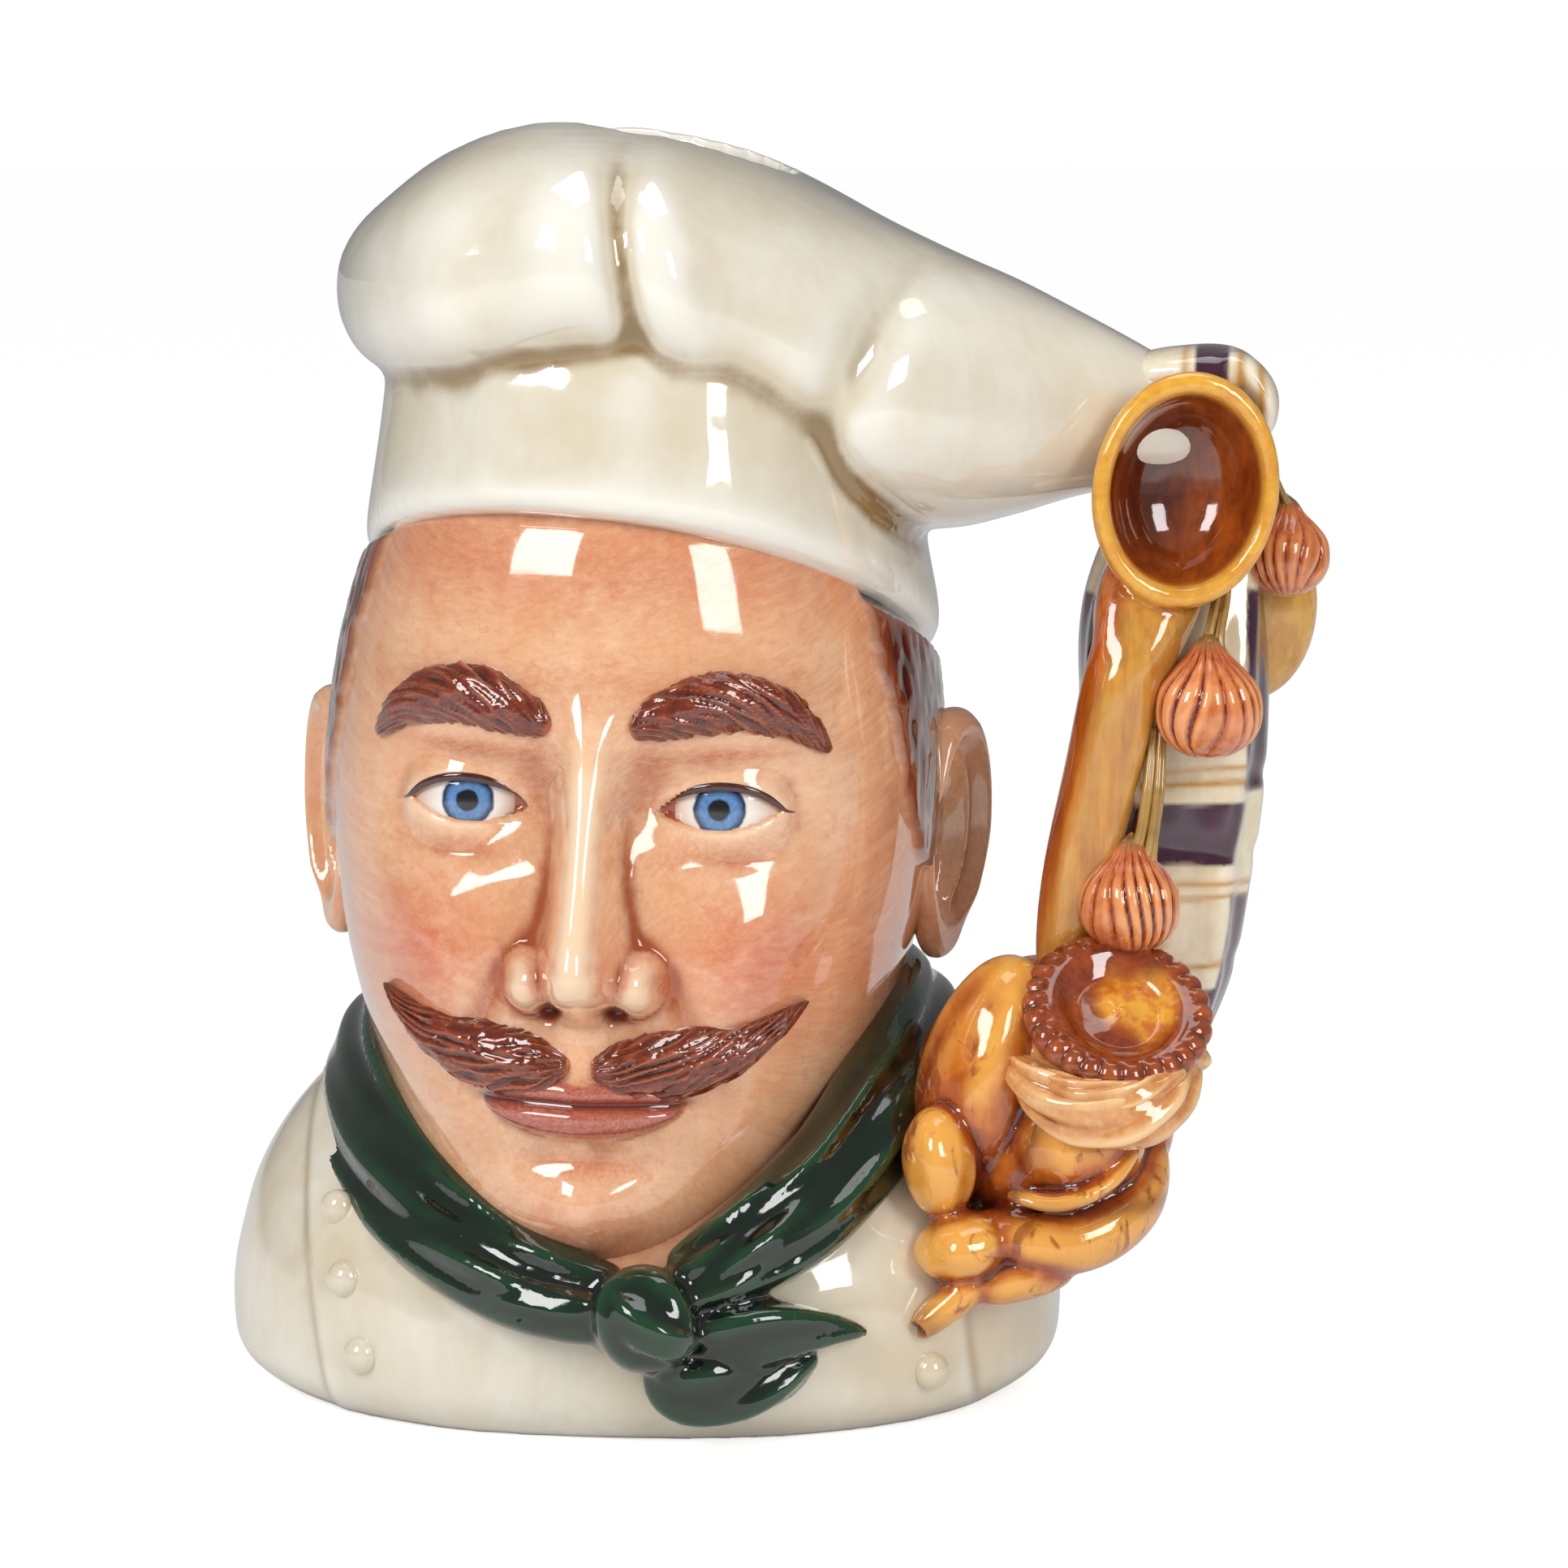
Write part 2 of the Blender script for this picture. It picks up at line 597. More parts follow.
def makeButtons():  # one button, copied to its places
    first = addSphere("button", 40, 24, jacket["buttonRadius"] * mm)
    flatter = jacket["buttonRise"] * 1.4 / jacket["buttonRadius"]
    bpy.ops.object.mode_set(mode="EDIT")
    bpy.ops.mesh.select_all(action="SELECT")
    bpy.ops.transform.rotate(value=math.pi / 2, orient_axis="X", center_override=(0, 0, 0))
    bpy.ops.transform.resize(value=(1, flatter, 1), center_override=(0, 0, 0))
    bpy.ops.object.mode_set(mode="OBJECT")
    made = []
    for x, z in jacket["buttons"]:
        copy = first.copy()
        copy.data = first.data.copy()
        bpy.context.scene.collection.objects.link(copy)
        turn = math.atan2(x, jacket["buttonTurn"])
        c, s = math.cos(turn), math.sin(turn)
        across, ahead, up = readPoints(copy).T
        y = float(jacketFront(x, z)) - jacket["panelRise"]
        writePoints(copy, np.stack([x + c * across - s * ahead, y + s * across + c * ahead, z + up], axis=1))
        made.append(copy)
    bpy.data.objects.remove(first)
    return join("buttons", made)


# the head: eyes halfway up, nose and brow dividing the face in thirds

head = dict(x=-1.6, tilt=1.5, chin=22.0, crown=142.0, halfWidth=40.0, power=2.25, around=320, along=250,
            crowd=0.42)
headTall = head["crown"] - head["chin"]
eyeZ = head["chin"] + headTall / 2
third = 0.29 * headTall
noseZ = head["chin"] + third
browZ = noseZ + third
mouthZ = noseZ - third / 3
eyeX = 0.4 * head["halfWidth"]
eye = dict(half=7.6, radius=10.0, front=43.9, lid=0.95)
noseRoot = 6.0  # how far behind the plain head the nose's flanks end

headLevels = [
    (8.0, 22.0, 28.0, 28.0), (15.0, 22.5, 33.0, 29.0), (22.0, 24.0, 42.0, 31.0), (28.0, 26.5, 45.6, 33.0),
    (36.0, 29.6, 47.2, 35.0), (48.0, 34.2, 48.0, 37.0), (60.0, 37.6, 48.2, 39.5), (73.0, 39.6, 48.3, 42.0),
    (84.0, 40.0, 48.2, 43.2), (92.0, 39.5, 48.0, 43.6), (100.0, 38.4, 47.6, 43.5), (109.0, 36.4, 46.8, 42.5),
    (118.0, 34.0, 45.6, 41.0), (127.0, 30.0, 42.0, 37.0),
]
noseProfile = [
    (noseZ - 4.0, 0.0, 6.2), (noseZ - 1.2, 2.2, 6.2), (noseZ + 0.6, 6.4, 6.2), (noseZ + 2.4, 11.0, 6.4),
    (noseZ + 5.0, 13.6, 6.5), (noseZ + 8.0, 13.4, 6.2), (noseZ + 12.0, 11.2, 5.4), (noseZ + 18.0, 8.0, 4.9),
    (noseZ + 24.0, 5.4, 4.7), (noseZ + 29.0, 3.6, 5.2), (browZ, 2.2, 6.6), (browZ + 7.0, 0.4, 9.0),
    (browZ + 12.0, 0.0, 10.0),
]

faceMasses = [  # rise over the plain head, then middle and spread across, and middle and spread up
    (1.7, 14, 11, browZ - 1.5, 4.6), (-1.0, 33, 6, 99, 9), (1.5, 25, 7, eyeZ - 14, 6.5),
    (2.4, 20, 9, noseZ + 3, 9), (-1.2, 27, 8, mouthZ + 1, 10), (-4.6, eyeX - 1.5, 9.5, eyeZ + 1.0, 7.6),
    (-1.6, 7.5, 3.0, eyeZ + 2.5, 5.0),
]
faceDetails = [
    (-2.6, 3.9, 1.7, noseZ + 0.1, 1.0), (2.2, 0, 14, mouthZ + 1.5, 8.5), (-0.8, 14.6, 1.8, mouthZ, 2.2),
    (-1.6, 0, 9, mouthZ - 7.6, 2.4), (3.4, 0, 9.0, head["chin"] + 8.6, 6.0),
]
blushSpots = [(0.85, 22, 9, noseZ + 6, 9), (0.8, 0, 6.5, noseZ + 6, 5), (0.45, 0, 9, head["chin"] + 7, 5),
              (0.35, 38, 6, 60, 16)]
shadeSpots = [(0.5, eyeX, 8, eyeZ - 5.6, 1.6), (0.8, 6.8, 2.6, eyeZ + 4, 5), (0.6, 0, 8, mouthZ - 8.4, 1.6),
              (0.6, 10.6, 1.4, noseZ + 4, 4)]


def spots(rows, side, z):
    return sum(rise * hump(side, x, wide) * hump(z, up, tall) for rise, x, wide, up, tall in rows)


def lidEdges(x):  # heights of the upper and lower lid's edges over the eye's middle
    u = np.clip((x - eyeX) / eye["half"], -1, 1)
    arch = 1 - u**2
    return 3.3 * arch**0.75 + 0.35 * u, -2.35 * arch**0.85 + 0.35 * u


def outsideEye(x, z):
    upper, lower = lidEdges(x)
    past = np.maximum(z - eyeZ - upper, lower + eyeZ - z)
    beyond = np.maximum(np.abs(x - eyeX) - eye["half"], 0)
    return np.where(beyond > 0, np.hypot(np.maximum(past, 0), beyond), past)


def eyeForward(x, z, grow=0.0):
    radius = eye["radius"]
    flat = np.maximum(radius**2 - (x - eyeX) ** 2 - (z - eyeZ) ** 2, 0)
    return eye["front"] + grow - radius + np.sqrt(flat)


def lineDistance(x, z, x0, z0, x1, z1):
    share = np.clip(((x - x0) * (x1 - x0) + (z - z0) * (z1 - z0)) / ((x1 - x0) ** 2 + (z1 - z0) ** 2), 0, 1)
    return np.hypot(x - x0 - share * (x1 - x0), z - z0 - share * (z1 - z0)), share


def lipEdges(side):
    taper = np.clip(1 - (side / 13.2) ** 2, 0, 1) ** 0.6
    return taper * (3.1 - 0.7 * hump(side, 0, 1.6)), taper * 4.5


def calmFace(x, z, plain):  # how far forward the face is, over the plain head
    side = np.abs(x)
    lid = eyeForward(side, z, eye["lid"]) - 60.0 * softStep(8.4, 16.0, np.hypot(side - eyeX, z - eyeZ))
    face = softMax(plain + spots(faceMasses, side, z), lid, 1.0)
    opening = softStep(0.28, -0.28, outsideEye(side, z))
    face = face * (1 - opening) + (eyeForward(side, z) - 0.5) * opening
    face = face - 0.35 * hump(side, eyeX + 0.5, 8.0) * hump(z - 0.05 * (side - eyeX), eyeZ - 6.6, 1.1)

    height, width = through(noseProfile, z)
    nose = plain - noseRoot + (height + noseRoot) * np.exp(-((side / width) ** 2.3))
    wingEdge = ((side - 6.6) / 4.3) ** 2 + ((z - noseZ - 3.9) / 4.5) ** 2
    wings = plain + 8.2 * np.sqrt(np.maximum(1 - wingEdge, 0)) - 1.6 - 30.0 * softStep(1.0, 3.0, wingEdge)
    near = softStep(15, 11, side)
    face = face * (1 - near) + softMax(softMax(face, nose, 1.2), wings, 1.1) * near

    away, share = lineDistance(side, z, 11.0, noseZ + 4.0, 18.5, mouthZ - 1.0)
    face = face - 0.9 * (1 - share) ** 0.5 * hump(away, 0, 1.7)
    upper, lower = lipEdges(side)
    over, under = z - mouthZ, mouthZ - z
    lipTop = 1.5 * np.sqrt(np.clip(1 - ((over - 0.5 * upper) / (0.55 * upper + 0.01)) ** 2, 0, 1))
    lipLow = 2.3 * np.sqrt(np.clip(1 - ((under - 0.48 * lower) / (0.56 * lower + 0.01)) ** 2, 0, 1))
    face = face + softStep(14, 11.0, side) * np.maximum(lipTop, lipLow) * (side < 13.2)
    face = face - 1.0 * softStep(14.5, 12.0, side) * hump(z, mouthZ, 0.6)
    return face + spots(faceDetails, side, z)


def plainFace(x, z):
    half, front, _ = through(headLevels, z)
    roundOff = (1 - np.clip(np.abs(x) / half, 0, 0.999) ** head["power"]) ** (1 / head["power"])
    return front * roundOff, softStep(0.02, 0.5, roundOff)


def faceY(x, z):
    plain, shows = plainFace(x, z)
    return -plain - shows * (calmFace(x, z, plain) - plain)


def tilted(x, y, z):  # the head leans a little towards the handle
    c, s = cosSin(head["tilt"])
    return head["x"] + c * x + s * (z - eyeZ), y, eyeZ + c * (z - eyeZ) - s * x


def hairEdge(z):  # the angle from the front at which the hair begins
    rows = [(44, 118), (58, 108), (68, 98), (71, 84), (78, 72), (86, 66), (95, 62), (112, 58), (142, 56)]
    return through(rows, z)[0]


def hairShare(angle, z):
    ragged = 1.5 * grain(np.stack([np.sign(angle), 0 * z, z], axis=1), 0.45)
    past = np.degrees(np.abs(angle)) - hairEdge(z) + ragged
    return softStep(-1.5, 1.5, past) * softStep(43, 50, z + ragged)


def makeHead():
    piece = addSphere("head", head["around"], head["along"])
    angle, t = ballGrid(piece)
    angle = angle - head["crowd"] * np.sin(angle)  # more columns at the front
    x, y, z = stacked(headLevels, head["power"])(angle, t)
    plain = np.maximum(-y, 0)
    shows = softStep(0.02, 0.5, np.cos(angle)) * cap(t, 8)
    y = y - shows * (calmFace(x, z, plain) - plain)
    hair = hairShare(angle, z)
    around = np.degrees(angle) * 0.72
    strand = np.abs(grain(np.stack([around, 0 * z, z * 0.16 + 0.03 * np.abs(around)], axis=1), 0.85))
    tucked = softStep(-0.3, 1.2, z - hatEdge(x, y))  # the hair slips under the hat's band
    grow = 1 + hair * (0.028 - 0.016 * strand) * (1 - tucked) - 0.02 * hair * tucked
    writePoints(piece, np.stack(tilted(x * grow, y * grow, z), axis=1))
    turnOutwards(piece)

    side = np.abs(x)
    front = np.cos(angle) > 0
    paint(piece, "blush", (spots(blushSpots, side, z) + 0.3 * hump(z, 112, 5)) * front)
    upper, lower = lipEdges(side)
    past = np.maximum(z - mouthZ - upper, mouthZ - z - lower)
    paint(piece, "lips", softStep(0.35, -0.15, past) * softStep(13.4, 12.2, side) * front)
    fold, share = lineDistance(side, z, 10.5, noseZ + 4.5, 18.5, mouthZ - 1.0)
    shade = spots(shadeSpots, side, z) + 0.9 * hump(z - 0.05 * side, eyeZ + 6.4, 1.3) * hump(side, eyeX, 8.5)
    shade = shade + 0.8 * hump(fold, 0, 1.5) * (1 - share) ** 0.5 + 0.9 * hump(z, head["chin"] - 1, 5)
    shade = shade + 0.4 * softStep(100, 116, z) + 0.3 * softStep(28, 38, side)
    paint(piece, "shade", (shade + 0.3 * hump(z, browZ + 6, 3) * (side < 30)) * front)
    mouthLine = 0.95 * hump(z, mouthZ, 0.45) * softStep(13.8, 12.6, side)
    paint(piece, "dark", (mouthLine + hump(side, 3.9, 1.4) * hump(z, noseZ, 0.8)) * front)
    paint(piece, "hair", hair)
    return piece


def makeEyes():  # the painted eyeballs behind the lids
    made = []
    for name, side in (("eyeRight", -1), ("eyeLeft", 1)):
        ball = addSphere(name, 72, 48, eye["radius"] * mm)
        bpy.ops.object.mode_set(mode="EDIT")
        bpy.ops.mesh.select_all(action="SELECT")
        bpy.ops.transform.rotate(value=math.pi / 2, orient_axis="X", center_override=(0, 0, 0))
        bpy.ops.mesh.bisect(plane_co=(0, -5.2 * mm, 0), plane_no=(0, 1, 0), clear_outer=True, use_fill=True)
        bpy.ops.object.mode_set(mode="OBJECT")
        centre = np.array(tilted(side * eyeX, -(eye["front"] - eye["radius"]), eyeZ))
        writePoints(ball, readPoints(ball) + centre)
        ball["eyePlace"] = [float(value) * mm for value in centre]
        made.append(ball)
    return made


def eyeGlaze(ball):
    look = Glaze(ball.name + "Glaze", 150.0, 0.02)
    x, _, z = ball["eyePlace"]
    centred = look.mapped(look.place, (1, 0, 1), (-x, 0, -z - 0.35 * mm))
    uneven = look.times(look.math("SUBTRACT", look.noise(look.place, 900.0, 3.0, 0.5), 0.5), 0.5 * mm)
    away = look.math("ADD", look.vector("LENGTH", {0: centred})["Value"], uneven)
    white = look.mix(look.ramp(away, 3.0 * mm, 8.0 * mm), (240, 234, 226), (222, 178, 150))
    rays = look.noise(look.mapped(look.place, (1, 0.2, 1)), 1500.0, 3.0, 0.6)
    iris = look.mix(rays, (48, 96, 160), (120, 164, 210))
    iris = look.mix(look.ramp(away, 2.2 * mm, 3.2 * mm), iris, (22, 36, 70))
    colour = look.mix(look.ramp(away, 3.15 * mm, 3.55 * mm, 1.0, 0.0), white, iris)
    return look.colour(look.mix(look.ramp(away, 1.25 * mm, 1.6 * mm, 1.0, 0.0), colour, (12, 12, 18)))


def onFace(line, side, thick, relief):
    return swept([(*tilted(side * x, float(faceY(x, z)) + 0.2, z), half, thick) for x, z, half in line],
                 relief=relief)


def lashShape(side):  # a dark line along the upper lid's edge
    stations = []
    for u in np.linspace(-1.02, 1.22, 17):
        x = eyeX + eye["half"] * float(u)
        z = eyeZ + float(lidEdges(x)[0]) - max(float(u) - 1, 0) * 3.0
        forward = max(float(eyeForward(x, z, eye["lid"])), -float(faceY(x, z))) + 0.02
        width = 0.42 * float(softStep(-1.1, -0.4, u) * softStep(1.3, 0.8, u)) + 0.12
        stations.append((*tilted(side * x, -forward, z + 0.1), width, 0.3))
    return swept(stations)


def lashGlaze():
    look = Glaze("lashGlaze", 150.0, 0.05)
    return look.colour(look.mix(look.strokes(900.0, (1, 1, 1), 0.8), (50, 22, 14), (84, 40, 24)))


browLine = [(5.0, browZ + 0.5, 2.6), (10.0, browZ + 3.0, 3.8), (17.0, browZ + 4.4, 4.2),
            (24.0, browZ + 2.4, 3.4), (29.0, browZ - 2.0, 1.6)]
moustacheLine = [(1.2, mouthZ + 4.8, 2.6), (5.5, mouthZ + 4.6, 4.4), (12.0, mouthZ + 5.2, 4.7),
                 (18.0, mouthZ + 6.8, 3.8), (23.0, mouthZ + 9.2, 2.2), (27.0, mouthZ + 12.0, 0.7)]


def tufted(length, slant, seed):  # locks of hair combed along a form
    def relief(angle, t):
        along, over = t * length, 5.5 * np.sin(angle)
        a, b = math.cos(slant), math.sin(slant)
        combed, across = along * a + over * b, over * a - along * b
        half = 2.0 * np.sign(np.cos(angle))
        locks = grain(np.stack([across * 0.75, combed * 0.16, half], axis=1), 1.0, seed)
        strands = grain(np.stack([across * 2.1, combed * 0.3, 0 * across], axis=1), 1.0, seed + 7)
        return 1 - 0.3 * np.abs(locks) - 0.11 * np.abs(strands)

    return relief


def makePair(name, around, along, shapeOf):  # the same form on the right and on the left
    return addBalls(name, *((name, around, along, shapeOf(side)) for side in (-1, 1)))


def browShape(side):
    return onFace(browLine, side, 2.9, tufted(28, 0.55, 3 + side))


def moustacheShape(side):
    return onFace(moustacheLine, side, 3.4, tufted(34, -0.28, 11 + side))


ear = dict(x=41.2, y=3.0, half=8.4, tall=17.0, thick=2.0)


def earShape(side):  # a plate with a rolled rim, a fold inside it, a bowl and a plain lobe
    def shape(angle, t):
        ring, up = np.sin(math.pi * t) ** 0.8, -np.cos(math.pi * t)
        across, out = ring * np.sin(angle), ring * np.cos(angle)
        rim = np.hypot(across, up)
        lobe = softStep(-0.45, -0.8, up)
        rolled = np.maximum(softStep(-0.35, 0.05, across), softStep(0.15, 0.45, up))
        helix = 1.1 * hump(rim, 0.86, 0.12) * rolled
        dish = 1.6 * softStep(0.82, 0.68, rim)
        fold = 1.5 * hump(np.hypot(across + 0.1, 0.85 * (up - 0.05)), 0.46, 0.1) * softStep(-0.2, 0.2, across)
        bowl = 1.6 * softStep(0.42, 0.24, np.hypot(across + 0.12, 0.8 * (up + 0.1)))
        tragus = 1.3 * hump(across, -0.62, 0.14) * hump(up, -0.1, 0.16)
        carve = (helix - dish) * (1 - lobe) + fold - bowl + tragus
        along = ear["half"] * across * (1 - 0.3 * softStep(0.1, -0.9, up))
        thick = ear["thick"] * np.sign(out) * np.minimum(2.2 * np.abs(out), 1)
        thick = thick + np.where(out > 0, carve, 0) * softStep(0.0, 0.3, out)
        x = ear["x"] + 0.42 * along + 0.9 * thick + 0.6 * up
        y = ear["y"] + 0.9 * along - 0.42 * thick
        return tilted(side * x, y, (browZ + noseZ) / 2 + ear["tall"] * up)

    return shape


def makeEars():
    ears = makePair("ears", 120, 100, earShape)
    z = readPoints(ears)[:, 2]
    paint(ears, "blush", 0.2 * hump(z, 61, 5) + 0.15 * hump(z, 90, 5))
    return ears


# the tall soft hat

hat = dict(voxel=0.86, bandPower=2.2, crownPower=2.35)
bandLevels = [
    (88.0, 40.6, 49.8, 46.2), (96.0, 40.2, 49.8, 46.0), (104.0, 38.8, 49.6, 45.6),
    (110.0, 37.6, 49.2, 45.0), (118.0, 36.2, 48.6, 44.0), (128.0, 34.6, 47.4, 43.0),
    (138.0, 33.2, 46.0, 41.6), (150.0, 30.0, 40.0, 37.0),
]
crownStations = [
    (-41.0, 146.0, 8.0, 14.0, 14.0), (-37.5, 146.0, 11.4, 25.0, 24.0), (-32.6, 146.6, 13.8, 36.0, 33.0),
    (-26.0, 147.5, 16.9, 44.5, 40.0), (-12.0, 149.5, 19.7, 50.0, 45.0), (-1.0, 150.4, 17.9, 51.2, 46.0),
    (10.0, 147.6, 18.0, 48.6, 45.0), (22.0, 142.0, 18.1, 41.5, 41.0), (32.0, 135.2, 19.6, 35.5, 35.5),
    (41.0, 132.6, 18.0, 30.0, 31.0), (48.7, 131.8, 15.6, 24.0, 26.0), (57.3, 130.9, 12.4, 17.0, 20.0),
    (66.0, 129.4, 9.8, 12.0, 15.0), (76.0, 127.0, 7.5, 9.0, 12.0),
]


def hatEdge(x, y):  # height of the band's lower edge, which tips back and towards the handle
    return 103.3 - 0.106 * x - 0.291 * y


def bandShape(angle, t):
    top, turn = bandLevels[-1][0], 2 / hat["bandPower"]
    half, front, back = through(bandLevels, 103)
    edge = hatEdge(half * np.sin(angle), -frontOrBack(angle, front, back) * np.cos(angle))
    z = edge + (top - edge) * t
    half, front, back = through(bandLevels, z)
    degrees = np.degrees(angle)
    pleats = sum(rise * hump(degrees, at, wide) for rise, at, wide in (
        (0.5, -38, 5), (0.5, -22, 4), (-0.5, 14, 5), (0.5, 40, 6)))
    soft = 0.35 * np.sin(np.radians(3 * degrees + 20))
    depth = frontOrBack(angle, front, back) + (pleats + soft) * softStep(112, 132, z)
    x = cap(t, 12) * half * signedPower(np.sin(angle), turn)
    return x - 0.3, -cap(t, 12) * depth * signedPower(np.cos(angle), turn), z


def crownShape(angle, t):
    first, last = crownStations[0][0], crownStations[-1][0]
    x = first + t * (last - first)
    middle, tall, front, back = through(crownStations, x)
    end, turn = cap(t, 5), 2 / hat["crownPower"]
    z = middle + end * tall * signedPower(np.cos(angle), turn)
    y = -end * np.where(np.sin(angle) > 0, front, back) * signedPower(np.sin(angle), turn)
    crease = 3.6 - 0.13 * (z - 145)
    folds = -2.6 * hump(x, crease, 1.9) + 1.5 * hump(x, crease - 7, 6) + 1.3 * hump(x, crease + 6, 3.2)
    sag = 2.2 * hump(x - 0.5 * (z - 134), 29, 3.6) - 0.8 * hump(x + 0.7 * (z - 150), -26, 5) * hump(z, 140, 9)
    rear = 1.2 * hump(x, -4, 6) - 2.2 * hump(x, -12 + 0.1 * (z - 145), 2.4)
    rear = rear - 1.6 * hump(x - 0.4 * (z - 134), 24, 4)
    return x, y - softStep(0.1, 0.6, -y / front) * (folds - sag) + softStep(0.1, 0.6, y / back) * rear, z


# the hollow inside, one wall in from the outside, and its thin liner

hollow = dict(wall=4.0, floor=5.0, mouthLength=50.0, mouthWidth=46.0, mouthX=-6.0, top=182.0, rimHeight=158.0,
              behindFace=2.5, leans=(14, 34), narrows=(126, 150), linerEnds=5.0, linerWall=0.8)


def reach(levels, power, z, angle):  # how far a level's outline is from its middle, in the angle's direction
    half, front, back = through(levels, z)[:3]
    depth = frontOrBack(angle, front, back)
    return (np.abs(np.sin(angle) / half) ** power + np.abs(np.cos(angle) / depth) ** power) ** (-1 / power)


def hollowOutline(angle, z):  # one wall inside the jacket and the head, then straight up to the mouth
    face = hollow["behindFace"] * softStep(24, 40, z) * softStep(118, 96, z) * softStep(0, 0.5, np.cos(angle))
    inside = np.maximum(reach(bustLevels, jacket["power"], z, angle),
                        reach(headLevels, head["power"], z, angle) - face) - hollow["wall"]
    opening = (hollow["mouthLength"] / 2, hollow["mouthWidth"] / 2, hollow["mouthWidth"] / 2)
    mouth = reach([(0, *opening), (hollow["top"], *opening)], 2.1, z, angle)
    narrow = softStep(*hollow["narrows"], z)
    middle = head["x"] * softStep(*hollow["leans"], z) + narrow * (hollow["mouthX"] - head["x"])
    return middle, inside + narrow * (mouth - inside)


def hollowShape(angle, t):
    z = hollow["floor"] + t * (hollow["top"] - hollow["floor"])
    middle, out = hollowOutline(angle, z)
    out = cap(t, 14) * out
    return middle + out * np.sin(angle), -out * np.cos(angle), z


def crownTop(x, y):  # height of the crown's upper side
    middle, tall, front, back = through(crownStations, x)
    share = np.clip(np.abs(y) / np.where(y < 0, front, back), 0, 1)
    return middle + tall * (1 - share ** hat["crownPower"]) ** (1 / hat["crownPower"])


def linerShape(angle, t):  # from the floor up the outside of the liner's thin wall, and down its inside
    middle, out = hollowOutline(angle, hollow["rimHeight"] + 0 * angle)
    low = hollow["floor"]
    high = crownTop(middle + out * np.sin(angle), -out * np.cos(angle)) - hollow["linerEnds"]
    inner = t > 0.5
    rise = 1 - np.abs(2 * t - 1)
    z = low - np.where(inner, 0.0, hollow["linerWall"]) * (1 - rise) + rise * (high - low)
    middle, out = hollowOutline(angle, np.maximum(z, low))
    sunk = softStep(0, 6, high - z)
    grow = np.where(inner, 0.12 - 0.5 * sunk, 0.3 + 0.6 * sunk)
    out = (1 - (1 - rise) ** 14) ** (1 / 14) * (out + grow)
    return middle + out * np.sin(angle), -out * np.cos(angle), z


def softenMouth(top):  # rounds the edge that the hollow leaves in the crown
    x, y, z = readPoints(top).T
    middle, out = hollowOutline(np.arctan2(x - hollow["mouthX"], -y), np.maximum(z, 152))
    away = np.abs(np.hypot(x - middle, y) - out)
    rim = softStep(4.5, 2.0, away) * softStep(5.0, 2.5, crownTop(x, y) - z)
    group = top.vertex_groups.new(name="rim")
    for number in np.flatnonzero(rim > 0.05):
        group.add([int(number)], float(rim[number]), "REPLACE")
    applyModifier(top, "soft edge", "SMOOTH", factor=0.6, iterations=10, vertex_group="rim")


# the neckerchief

scarf = dict(voxel=0.62)
scarfLine = [
    (4.5, -49.5, 19.0, 5.0, 3.4), (-4.0, -48.5, 20.5, 6.6, 3.8), (-13.5, -45.0, 23.4, 7.8, 4.2),
    (-24.5, -36.5, 29.0, 8.8, 4.4), (-33.0, -24.5, 35.6, 9.4, 4.4), (-38.0, -9.0, 41.5, 9.2, 4.2),
    (-37.6, 9.0, 46.0, 8.0, 4.0), (-29.0, 27.0, 47.5, 7.0, 3.8), (-11.0, 38.0, 47.0, 6.6, 3.8),
    (10.0, 38.0, 47.5, 6.6, 3.8), (27.0, 27.0, 49.0, 7.0, 3.8), (35.4, 9.0, 50.0, 8.0, 4.0),
    (36.6, -8.0, 47.0, 8.8, 4.2), (32.6, -24.0, 40.0, 9.0, 4.4), (25.6, -36.5, 31.5, 8.4, 4.4),
    (17.0, -44.5, 26.0, 7.0, 4.0), (8.0, -49.0, 21.5, 5.2, 3.4),
]


def scarfShape(angle, t):
    *place, across, thick = alongLine(scarfLine, t)
    x, y, z = place
    out = unitRows(np.stack([x - head["x"], y, 0 * z], axis=1))
    lean = 0.6
    face = unitRows(out + np.array([0, 0, lean]))
    up = unitRows(np.array([0, 0, 1.0]) - out * lean)
    outer = softStep(0.1, 0.5, np.cos(angle))
    wander = 2.2 * np.sin(9 * t + 0.6) + 0.9 * np.sin(23 * t)
    pleats = 0.12 * np.cos(7 * angle + wander) + 0.07 * np.cos(13 * angle - 1.7 * wander + 12 * t)
    pleats = pleats + 0.07 * np.sin(64 * t + 5 * np.sin(angle)) * hump(np.abs(t - 0.5), 0.36, 0.13)
    u = cap(t, 12) * across * signedPower(np.sin(angle), 0.85)
    v = cap(t, 12) * thick * signedPower(np.cos(angle), 0.85) * (1 + pleats * outer)
    return stepped(np.stack(place, axis=1), (u, up), (v, face))


def pleated(count, deep, sway):
    def relief(angle, t):
        return 1 + deep * np.cos(count * angle + sway * t) * cap(t, 3)

    return relief


